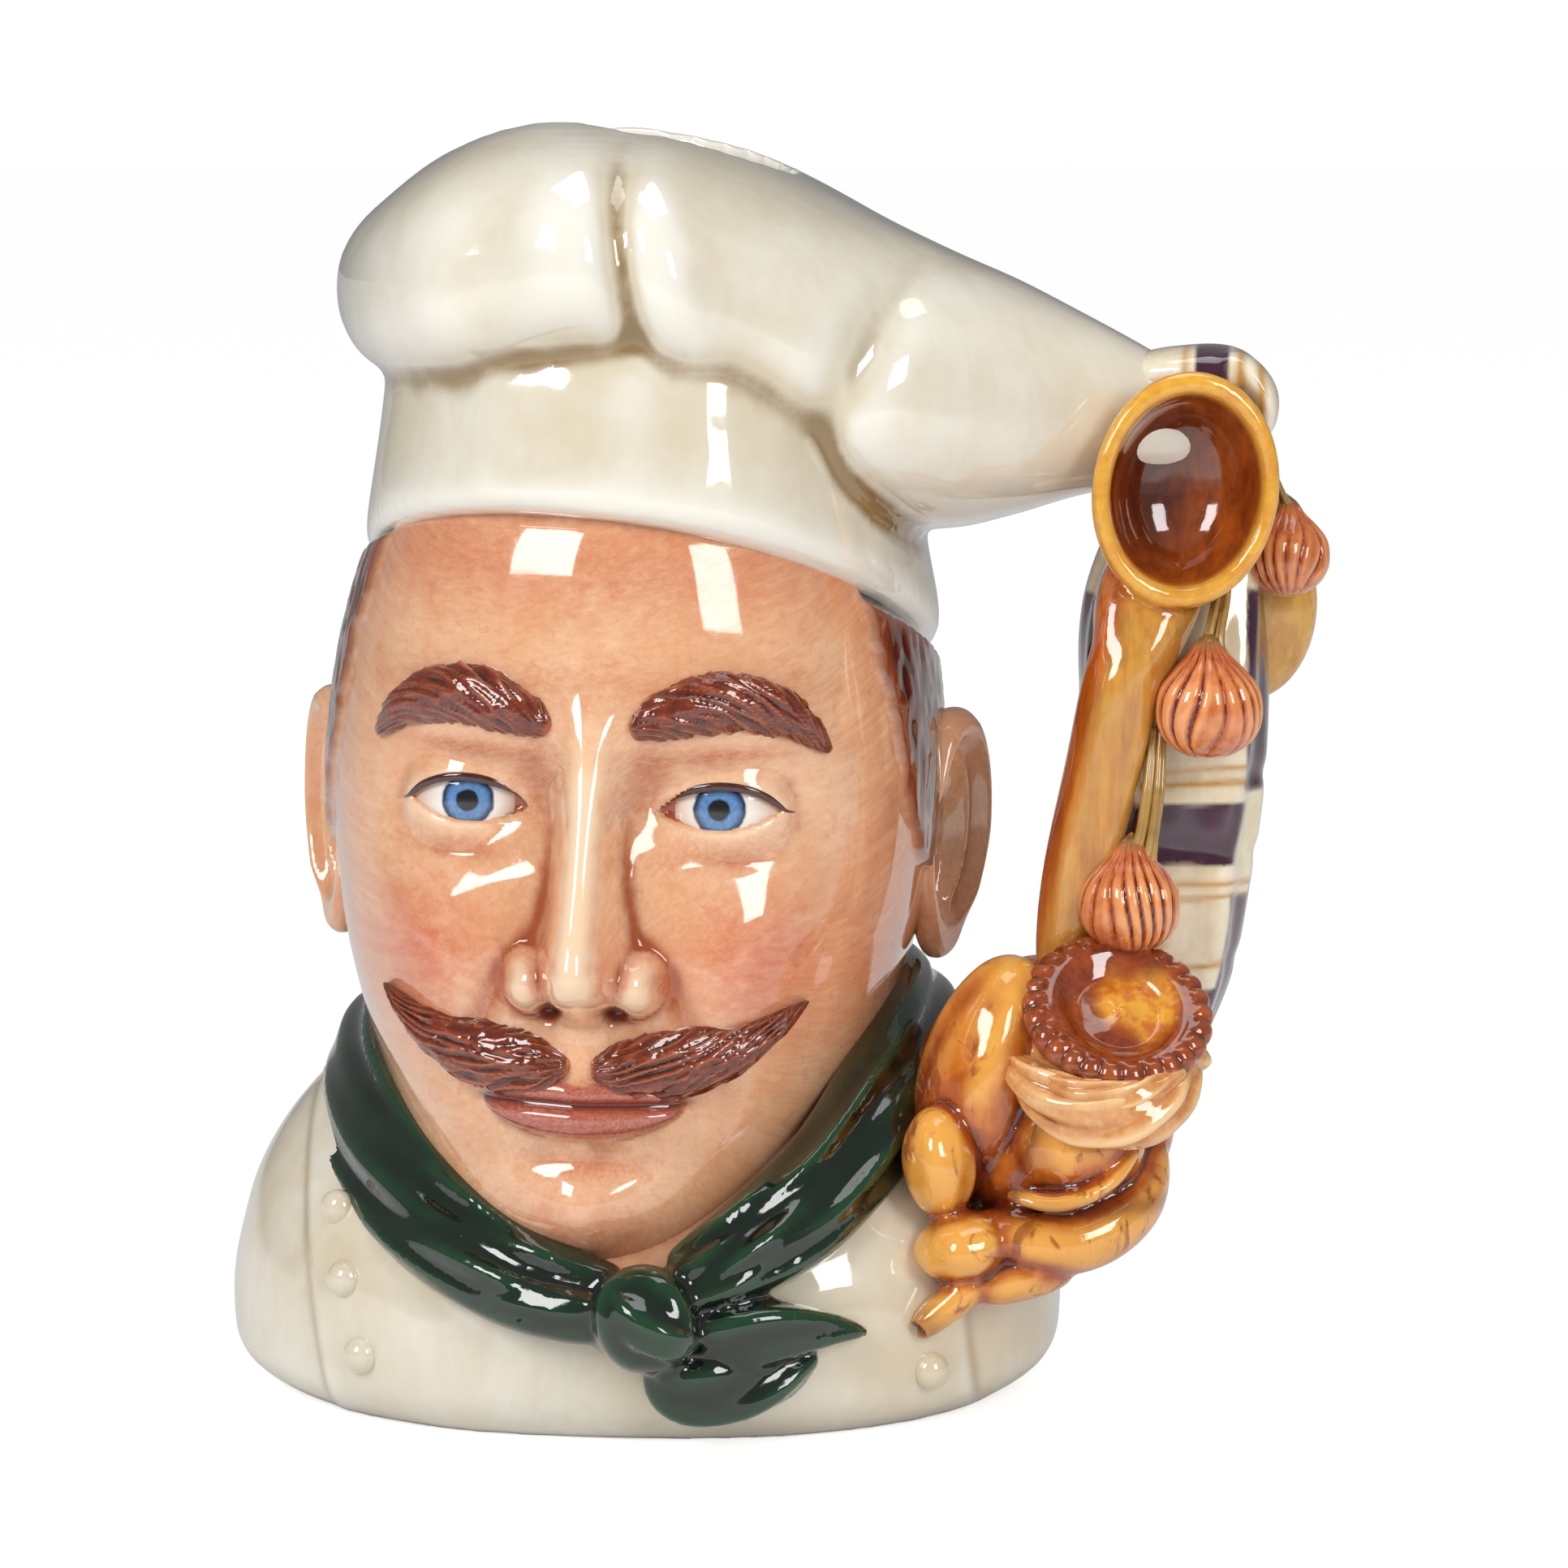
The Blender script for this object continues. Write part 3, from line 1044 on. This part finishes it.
def makeScarf():
    piece = addBalls(
        "neckerchief",
        ("band", 120, 420, scarfShape),
        ("knot", 96, 80, oval((5.6, -51.4, 18.2), (7.2, 5.4, 7.0), 12, pleated(4, 0.1, 5))),
        ("wrap", 60, 96, swept(
            [(1.6, -52.6, 22.8, 2.2, 1.8), (4.4, -56.0, 19.6, 2.6, 1.8), (8.6, -56.4, 16.8, 2.6, 1.8),
             (12.2, -52.2, 15.0, 2.4, 1.8)], relief=pleated(4, 0.1, 3))),
        ("tailRight", 64, 96, swept(
            [(9, -49, 15.8, 3.6, 3.4), (14.5, -48.5, 15.8, 4.4, 3.6), (21, -46.5, 16.0, 4.0, 3.4),
             (28, -43, 15.6, 2.4, 2.8), (33, -40, 14.6, 1.0, 1.8)], relief=pleated(4, 0.15, 5))),
        ("tailLow", 64, 96, swept(
            [(6, -49, 13, 3.6, 3.8), (10.5, -48.5, 9.6, 5.0, 4.0), (16.5, -47, 8.6, 4.4, 3.6),
             (22, -45, 9.6, 3.4, 3.0), (27, -42.8, 12.0, 1.6, 2.0)], relief=pleated(4, 0.16, 6))))
    oneSkin(piece, scarf["voxel"])
    return piece


# the ladle

ladle = dict(voxel=0.42, centre=(71.8, -16.0, 120.6), half=12.1, tall=1.26, yaw=12, lean=7, depth=11.0)
cupOutside = [
    (0.0, 0.0, 1.0), (0.10, 0.38, 0.94), (0.20, 0.70, 0.73), (0.29, 0.90, 0.44), (0.35, 0.955, 0.24),
    (0.385, 0.965, 0.15), (0.41, 1.0, 0.10), (0.44, 1.01, 0.02), (0.47, 0.985, -0.06), (0.505, 0.93, -0.10),
]
cupInside = [(0.54, 0.87, -0.09), (0.575, 0.825, -0.03), (0.61, 0.795, 0.07), (0.68, 0.735, 0.30),
             (0.76, 0.61, 0.55), (0.84, 0.43, 0.72), (0.92, 0.21, 0.81), (1.0, 0.0, 0.83)]
shaftLine = [(69.0, -9.0, 112, 9.0, 3.5), (67.6, -10.0, 108, 8.0, 4.2), (66.2, -11.6, 104, 6.9, 5.2),
             (65.0, -12.6, 99, 5.7, 5.8), (63.5, -13, 94, 5.2, 6), (61.5, -13, 84, 5.2, 6),
             (59.2, -13, 74, 5.2, 6), (57.2, -13, 65, 5.2, 6), (55.0, -13, 55, 5.2, 6)]


def ladleAxes():  # across the bowl, into it, and the cosine and sine of its lean
    c, s = cosSin(ladle["yaw"])
    return np.array([c, s, 0]), np.array([-s, c, 0]), *cosSin(ladle["lean"])


def cupShape(angle, t):  # the outside of a cup that opens to the front, its rolled rim and its inside
    out, deep = through(cupOutside + cupInside, t)
    side, away, c, s = ladleAxes()
    u, w = ladle["half"] * out * np.sin(angle), ladle["half"] * ladle["tall"] * out * np.cos(angle)
    return stepped(ladle["centre"], (c * u + s * w, side), (ladle["depth"] * deep, away),
                   (c * w - s * u, np.array([0, 0, 1.0])))


def wornWood(angle, t):
    return 1 + 0.03 * np.cos(5 * angle + 2.5 * np.sin(7 * t)) * softStep(0.12, 0.3, t)


def makeLadle():
    piece = addBalls("ladle", ("bowl", 170, 170, cupShape),
                     ("shaft", 80, 170, swept(shaftLine, power=2.4, relief=wornWood)))
    oneSkin(piece, ladle["voxel"])
    points = readPoints(piece)
    x, _, z = points.T
    side, away, c, s = ladleAxes()
    fromMiddle = points - ladle["centre"]
    deep = fromMiddle @ away / ladle["depth"]
    across, up = fromMiddle @ side, fromMiddle[:, 2]
    out = np.hypot(c * across - s * up, (s * across + c * up) / ladle["tall"]) / ladle["half"]
    inner = through([row[1:] for row in cupInside[::-1]], out)[0]
    outer = through([row[1:] for row in cupOutside[:8]], out)[0]
    paint(piece, "inside", softStep(0.83, 0.785, out) * (deep < (inner + outer) / 2))
    paint(piece, "depth", softStep(0.2, 0.7, deep) * softStep(7.0, -3.0, across - 0.3 * up))
    paint(piece, "rim", hump(out, 0.93, 0.12) * softStep(0.3, 0.1, deep) * (up > -15))
    middle = through(sorted((row[2], row[0]) for row in shaftLine), z)[0]
    shadow = softStep(-1.6, -4.4, x - middle) * softStep(116, 104, z)
    paint(piece, "edge", shadow + 0.7 * hump(out, 1.0, 0.05) * (up < -8))
    return piece


spoon = dict(centre=(79.5, 8.0, 104.0), radii=(9.2, 5.5, 13.0))


def makeSpoon():  # the second spoon's round back, behind the cloth
    return addBall("secondSpoon", 96, 72, oval(spoon["centre"], spoon["radii"]))


# the folded cloth

cloth = dict(voxel=0.55, backBlocks=[(62, 70), (84, 92), (104, 112)],
             # lower and upper end, and how far inside the cloth's edge the blocks begin and are full
             frontBlocks=[(71.0, 79.0, 1.6, 2.4), (80.5, 107.0, 2.8, 2.2), (53.0, 66.5, 2.6, 2.0),
                          (33.0, 39.0, 3, 2)],
             threads=[(81.6, 0.45), (83.6, 0.4), (68.4, 0.45), (66.6, 0.35), (57.5, 0.4)])
clothEdge = [(34, 73.4), (43, 74.8), (48.5, 76.4), (59, 79.3), (71.5, 80.4), (82, 82.2), (91, 82.3),
             (106, 82)]
hangingLine = [
    (70, 1.0, 134, 5, 7.5), (73, 1.5, 129.5, 8.5, 8), (72.5, 2.0, 118, 9.8, 8), (70, 0.5, 104, 12, 9),
    (69.8, -0.5, 92, 12.3, 9.5), (69.4, -1, 80, 12.1, 9.5), (68.2, -1.5, 68, 11.8, 9.5),
    (66.8, -2, 56, 11.6, 9.5), (65.8, -4, 45, 9.4, 9.5), (65.2, -6, 36, 8, 8),
]


def layered(angle, t):
    lines = 0.03 * hump(t, 0.62, 0.012) + 0.03 * hump(t, 0.53, 0.012) + 0.025 * hump(t, 0.75, 0.012)
    return 1 + 0.045 * np.cos(7 * angle + 1.2 * np.sin(8 * t)) - lines


def block(value, low, high):
    return softStep(low - 0.3, low + 0.3, value) * softStep(high + 0.3, high - 0.3, value)


def makeCloth():
    piece = addBalls(
        "cloth",
        ("hanging", 120, 240, swept(hangingLine, power=2.6, relief=layered)),
        ("fold", 60, 60, swept([(62, -2, 134.6, 3.0, 7), (70, -2, 135.5, 3.2, 8), (77, -2, 135.2, 3.4, 8.5),
                                (81.2, -2, 132.2, 2.6, 7.5)])),
        ("lip", 40, 60, swept([(74, -6, 137.0, 1.6, 4), (78.5, -6, 136.0, 2.0, 4.5),
                               (81.6, -6, 132.5, 1.8, 4.5), (82.0, -5, 127.5, 1.4, 4)])))
    oneSkin(piece, cloth["voxel"])
    points = readPoints(piece)
    x, y, z = points.T
    sway = 0.6 * grain(points, 0.18, 5)
    z, x = z + sway, x + 0.5 * sway
    edge = through(clothEdge, z)[0]
    purple = sum(block(z, low, high) * softStep(edge - start, edge - stop, x)
                 for low, high, start, stop in cloth["frontBlocks"])
    purple = purple + block(x, 72.6, 77.0) * softStep(128, 130, z) + block(z, 44.0, 54.0)
    purple = purple + block(z, 94, 106) * softStep(62, 61, x)
    behind = sum(block(z, *rows) for rows in cloth["backBlocks"]) + block(x, 66, 69)
    paint(piece, "purple", purple + (1 - softStep(2, 0, y)) * behind)
    ochre = sum(hump(z, at, wide) for at, wide in cloth["threads"])
    overFold = hump(x, 78.6, 0.6) + hump(x, 81.2, 0.6) + 0.8 * hump(x, 71.4, 0.4)
    paint(piece, "ochre", ochre + softStep(129, 131, z) * overFold)
    return piece


# the onions

onion = dict(radius=6.8, ridges=17, ridgeDepth=0.12,
             places=[(84.6, -2.0, 111.4, 0.84), (74.8, -15.0, 92.6, 1.03), (65.2, -17.0, 67.0, 0.98)])
onionStems = [
    [(84.4, -2, 115, 3.0), (83.4, -2, 119, 1.6), (81.6, -3, 124, 1.4), (80.0, -3, 130, 1.6)],
    [(75.0, -15, 96.5, 3.8), (75.4, -14, 101, 2.0), (76.4, -11, 107, 1.8), (76.6, -8, 114, 2.0)],
    [(65.6, -17, 70.5, 3.6), (67.0, -17, 75, 2.2), (68.0, -16, 82, 2.2), (68.4, -14, 90, 2.0)],
]
onionProfile = [
    (0, -0.98, 0.0), (0.08, -0.93, 0.34), (0.2, -0.72, 0.72), (0.34, -0.36, 0.96), (0.46, 0.0, 1.0),
    (0.58, 0.36, 0.92), (0.7, 0.68, 0.68), (0.8, 0.94, 0.42), (0.9, 1.2, 0.24), (1.0, 1.4, 0.0),
]


def onionShape(centre, r, seed):  # a pointed bulb whose skin is drawn up in ribs
    def shape(angle, t):
        up, out = through(onionProfile, t)
        sway = 0.2 * np.sin(4 * t + 2 * angle + seed) + 0.1 * np.sin(3 * angle + seed)
        groove = (1 - np.abs(np.cos(onion["ridges"] / 2 * (angle + sway)))) ** 2
        uneven = 0.5 + 0.7 * np.sin(1.5 * angle + seed) ** 2
        out = out * (1 - onion["ridgeDepth"] * uneven * groove * softStep(0.0, 0.4, out))
        out = out * (1 + 0.03 * np.cos(3 * angle + seed))
        return centre[0] + r * out * np.sin(angle), centre[1] - r * out * np.cos(angle), centre[2] + r * up

    return shape


def makeOnions():
    made = []
    for number, (place, stem) in enumerate(zip(onion["places"], onionStems)):
        *centre, size = place
        r = size * onion["radius"]
        bulb = addBall("bulb", 128, 56, onionShape(centre, r, 2.1 * number))
        paint(bulb, "stem", softStep(centre[2] + 0.95 * r, centre[2] + 1.3 * r, readPoints(bulb)[:, 2]))
        leaves = []
        for strand in range(5):  # each stem is a few dried leaves
            spread = (strand - 2) / 2
            lift = 0.5 * math.cos(2.3 * strand + number)
            line = []
            for i, (x, y, z, half) in enumerate(stem):
                line.append((x + spread * half * 0.62 * (1 - 0.15 * i),
                             y - 0.25 * abs(spread) - 0.3 + lift * (i > 0), z,
                             0.2 * half + 0.12, 0.26 * half + 0.2))
            leaves.append(addBall("leaf", 16, 48, swept(line)))
        core = [(x, y + 0.9, z, 0.55 * half, 0.6 * half) for x, y, z, half in stem]
        leaves.append(addBall("core", 24, 48, swept(core)))
        for leaf in leaves:
            paint(leaf, "stem", softStep(-1.0, 3.0, readPoints(leaf)[:, 2] - stem[0][2]))
        made += [bulb] + leaves
    return join("onions", made)


# the pie

pie = dict(centre=(64.0, -26.0, 54.6), axis=(0.18, -0.64, 0.75), radius=12.0, height=13.0, crimps=26)
pieOutline = [
    (-1.0, 0.0), (-1.0, 0.7), (-0.8, 0.93), (-0.5, 1.04), (-0.3, 0.97), (-0.19, 0.96), (-0.08, 1.03),
    (0.02, 0.98), (0.07, 0.86), (0.05, 0.7), (-0.02, 0.57), (-0.07, 0.47), (-0.05, 0.32), (-0.01, 0.14),
    (0.0, 0.0),
]


def pieAxis():
    return np.array(pie["axis"]) / np.linalg.norm(pie["axis"])


def pieShape(angle, t):  # from the base up the folded side to the crimped rim and the domed lid
    upShare, outShare = alongLine(pieOutline, t)
    low = softStep(0.5, 0.9, outShare) * softStep(-0.26, -0.4, upShare)
    pastry = 0.06 * np.cos(13 * angle + 7 * upShare) * low + 0.03 * np.cos(5 * angle + 2) * low
    onRim = softStep(0.78, 0.88, outShare) * softStep(-0.22, -0.12, upShare)
    bead = np.abs(np.cos(pie["crimps"] / 2 * angle + 1.6 * upShare + 0.25 * np.sin(5 * angle))) ** 0.5 - 0.6
    upShare = upShare + 0.04 * bead * onRim
    uneven = 0.016 * np.cos(2 * angle + 9 * outShare) * softStep(0.8, 0.7, outShare) * (upShare > -0.3)
    radius = pie["radius"] * outShare * (1 + pastry + 0.035 * bead * onRim)
    up = pieAxis()
    side = np.cross(up, [0, 1, 0])
    side /= np.linalg.norm(side)
    return stepped(pie["centre"], (pie["height"] * (upShare + uneven), up), (radius * np.cos(angle), side),
                   (radius * np.sin(angle), np.cross(up, side)))


def twisted(angle, t):  # long folds that wind slowly round the band
    fine = 0.05 * np.cos(9 * angle + 22 * t) + 0.02 * np.sin(40 * t + 3 * angle)
    return 1 + 0.13 * np.cos(5 * angle + 16 * t) + fine


def makePie():
    piece = addBall("pie", 240, 150, pieShape)
    points = readPoints(piece) - pie["centre"]
    high = points @ pieAxis()
    paint(piece, "rim", softStep(-3.6, -2.6, high))
    across, away = points[:, 0] - 2.4, points[:, 1] - 1.6
    patch = np.hypot(across, 1.1 * away) / (0.72 * pie["radius"]) + 0.08 * np.cos(3 * across / 5)
    paint(piece, "lid", softStep(0.66, 0.4, patch) * softStep(-3, -1.5, high))
    band = addBall("band", 56, 150, swept(
        [(49.5, -27, 49.0, 1.2, 1.4), (53, -31.5, 46.0, 3.0, 2.6), (58.6, -34.4, 43.0, 4.0, 2.8),
         (65, -34.6, 42.2, 4.4, 3.0), (70.6, -31.2, 43.8, 3.8, 3.0), (74.2, -26.0, 47.0, 2.4, 2.2)],
        relief=twisted))
    tuck = addBall("tuck", 40, 100, swept(
        [(54, -32.8, 47.2, 1.4, 1.2), (60, -36.2, 45.4, 1.7, 1.5), (67, -35.4, 45.2, 1.8, 1.5),
         (72.8, -30.6, 47.4, 1.2, 1.2)], relief=twisted))
    return join("pie", [piece, band, tuck])


# the roast bird

bird = dict(voxel=0.5, legEnd=(38.2, -36.9, 13.2), legWay=(-0.70, -0.30, -0.62), holeDepth=1.4)


def lumpy(angle, t):
    return 1 + 0.02 * np.sin(5 * angle + 3 * t) + 0.015 * np.sin(9 * angle - 8 * t)


def makeBird():
    piece = addBalls(
        "roastBird",
        ("body", 110, 90, oval((54.0, -15.0, 40.0), (17.2, 14.5, 19.6), 0, lumpy)),
        ("breastLeft", 72, 72, oval((46.6, -21.5, 43.6), (8.8, 10.5, 17.4), 14, lumpy)),
        ("breastRight", 72, 60, oval((58.6, -26.0, 36.8), (9.2, 8.8, 8.2), -16, lumpy)),
        ("belly", 72, 60, oval((53.0, -22.5, 33.0), (9.0, 9.0, 9.4), 0, lumpy)),
        ("roll", 60, 110, swept([(46, -31, 27.5, 3.2, 5), (53, -31, 25.2, 4.2, 6), (60, -29, 25.4, 4.6, 6),
                                 (66, -24.5, 29, 4.2, 5.5), (69.0, -19, 35.5, 3.2, 4.5)])),
        ("skinLip", 30, 80, swept([(50, -34.5, 31.6, 1.1, 2.4), (57, -34.5, 30.8, 1.3, 3),
                                   (63, -32, 33, 1.3, 3), (67.0, -28, 37, 1.0, 2.4)])),
        ("drumstick", 60, 60, oval((41.4, -31.0, 35.0), (4.8, 6.4, 7.4), -6, lumpy)),
        ("knuckle", 60, 60, oval((44.6, -32.5, 24.4), (6.4, 7.0, 4.5), -12, lumpy)),
        ("wing", 50, 60, swept([(58, -27, 21.5, 3.4, 6), (51, -30, 20.2, 3.6, 6),
                                (45.5, -33, 18.6, 3.0, 4.5)])),
        ("leg", 40, 60, swept([(47, -32.5, 20.5, 3.0, 4.0), (43.2, -34.2, 17.4, 2.4, 3.4),
                               (38.4, -36.4, 13.4, 2.1, 2.4)])))
    oneSkin(piece, bird["voxel"], 5)
    points = readPoints(piece)
    fromEnd = points - bird["legEnd"]
    away = np.linalg.norm(fromEnd, axis=1)
    axis = np.array(bird["legWay"]) / np.linalg.norm(bird["legWay"])
    out = np.linalg.norm(np.cross(fromEnd, axis), axis=1)
    hole = softStep(1.5, 0.9, out) * softStep(4.5, 3.0, away)
    writePoints(piece, points - bird["holeDepth"] * hole[:, None] * axis)
    lit = readRows(piece, "normal") @ np.array([-0.1, -0.94, 0.33])
    paint(piece, "flank", softStep(1.0, 0.5, lit))
    x, _, z = points.T
    seam, _ = lineDistance(x, z, 51.0, 31.5, 55.5, 45.0)
    burnt = 0.95 * hole + 0.5 * hump(away, 3.0, 2.0) + 0.75 * hump(seam, 0, 1.2)
    paint(piece, "burnt", burnt + 0.6 * hump(z, 29.6, 1.4) * (x > 48))
    return piece


# everything is made, cut and finished

def makeAll():
    cream, skin, hair = creamGlaze(), skinGlaze(), hairGlaze()
    cutter = addBall("hollowCutter", 72, 66, hollowShape)

    body = makeJacket()
    cutBy(body, cutter)
    paintJacket(body)
    finishPiece(body, jacketGlaze())
    finishPiece(makeButtons(), cream, rounds=6)

    face = makeHead()
    cutBy(face, cutter)
    finishPiece(face, skin)
    finishPiece(makeEars(), skin, rounds=2)
    for ball in makeEyes():
        finishPiece(ball, eyeGlaze(ball), rounds=2)
    finishPiece(makePair("lashLines", 12, 64, lashShape), lashGlaze(), rounds=2)
    finishPiece(makePair("eyebrows", 84, 136, browShape), hair, rounds=10)
    finishPiece(makePair("moustache", 92, 150, moustacheShape), hair, rounds=10)

    top = addBalls("hat", ("band", 220, 110, bandShape), ("crown", 220, 220, crownShape))
    oneSkin(top, hat["voxel"])
    cutBy(top, cutter)
    oneSkin(top, hat["voxel"], 3)
    softenMouth(top)
    finishPiece(top, cream, rounds=40)
    finishPiece(addBall("inside", 90, 120, linerShape), cream, rounds=6)

    finishPiece(makeScarf(), greenGlaze())
    finishPiece(makeLadle(), woodGlaze())
    finishPiece(makeSpoon(), spoonGlaze(), rounds=6)
    finishPiece(makeCloth(), clothGlaze())
    finishPiece(makeOnions(), onionGlaze(), rounds=10)
    finishPiece(makePie(), crustGlaze(), rounds=16)
    finishPiece(makeBird(), roastGlaze(), rounds=70)
    bpy.data.objects.remove(cutter)


makeAll()


# the studio

studio = dict(floor=40.0, floorGlow=0.62, room=0.46, mirrored=0.22, azimuth=6.0, elevation=7.2,
              distance=0.70, lens=120.0, target=(0.018, 0.0, 0.0798))


def makeFloor():
    bpy.ops.object.select_all(action="DESELECT")
    bpy.ops.mesh.primitive_plane_add(size=studio["floor"])
    floor = bpy.context.object
    floor.name = "floor"
    material = bpy.data.materials.new("paleFloor")
    material.use_nodes = True
    shader = material.node_tree.nodes["Principled BSDF"]
    shader.inputs["Base Color"].default_value = (0.85, 0.85, 0.85, 1)
    shader.inputs["Roughness"].default_value = 0.8
    shader.inputs["Emission Color"].default_value = (1, 1, 1, 1)
    rays = material.node_tree.nodes.new("ShaderNodeLightPath")
    glow = material.node_tree.nodes.new("ShaderNodeMath")
    glow.operation = "MULTIPLY"
    glow.inputs[1].default_value = studio["floorGlow"]
    material.node_tree.links.new(rays.outputs["Is Camera Ray"], glow.inputs[0])
    material.node_tree.links.new(glow.outputs[0], shader.inputs["Emission Strength"])
    floor.data.materials.append(material)


def addLight(name, place, aim, size, power):
    bpy.ops.object.light_add(type="AREA", location=place)
    lamp = bpy.context.object
    lamp.name = name
    lamp.data.shape = "RECTANGLE"
    lamp.data.size, lamp.data.size_y = size
    lamp.data.energy = power
    lamp.rotation_euler = (Vector(aim) - Vector(place)).to_track_quat("-Z", "Y").to_euler()


def makeStudio():
    makeFloor()
    middle = (0.015, 0.0, 0.085)
    addLight("softboxLeft", (-0.42, -0.62, 0.52), middle, (0.30, 0.40), 3.4)
    addLight("softboxRight", (0.55, -0.55, 0.40), middle, (0.24, 0.36), 2.2)
    addLight("softboxTop", (0.1, 0.1, 0.95), middle, (0.5, 0.5), 1.6)
    world = bpy.data.worlds.new("paleRoom")
    bpy.context.scene.world = world
    world.use_nodes = True
    nodes = world.node_tree.nodes
    back = nodes["Background"]
    back.inputs["Color"].default_value = (1, 1, 1, 1)
    rays = nodes.new("ShaderNodeLightPath")
    shown = nodes.new("ShaderNodeMapRange")
    world.node_tree.links.new(rays.outputs["Is Camera Ray"], shown.inputs["Value"])
    mirrored = nodes.new("ShaderNodeMapRange")  # the room is darker where the glaze mirrors it
    world.node_tree.links.new(rays.outputs["Is Glossy Ray"], mirrored.inputs["Value"])
    mirrored.inputs["To Min"].default_value = studio["room"]
    mirrored.inputs["To Max"].default_value = studio["mirrored"]
    world.node_tree.links.new(mirrored.outputs[0], shown.inputs["To Min"])
    shown.inputs["To Max"].default_value = 1.0
    world.node_tree.links.new(shown.outputs[0], back.inputs["Strength"])
    bpy.context.scene.view_settings.view_transform = "Standard"


def makeCamera():
    bpy.ops.object.camera_add()
    camera = bpy.context.object
    camera.name = "photoCamera"
    a, e = math.radians(studio["azimuth"]), math.radians(studio["elevation"])
    back = Vector((math.sin(a) * math.cos(e), -math.cos(a) * math.cos(e), math.sin(e)))
    camera.location = Vector(studio["target"]) + back * studio["distance"]
    camera.rotation_euler = (-back).to_track_quat("-Z", "Y").to_euler()
    camera.data.lens = studio["lens"]
    camera.data.sensor_width = 36.0
    camera.data.clip_start, camera.data.clip_end = 0.01, 50.0
    bpy.context.scene.camera = camera


makeStudio()
makeCamera()
print("studio and camera ready")
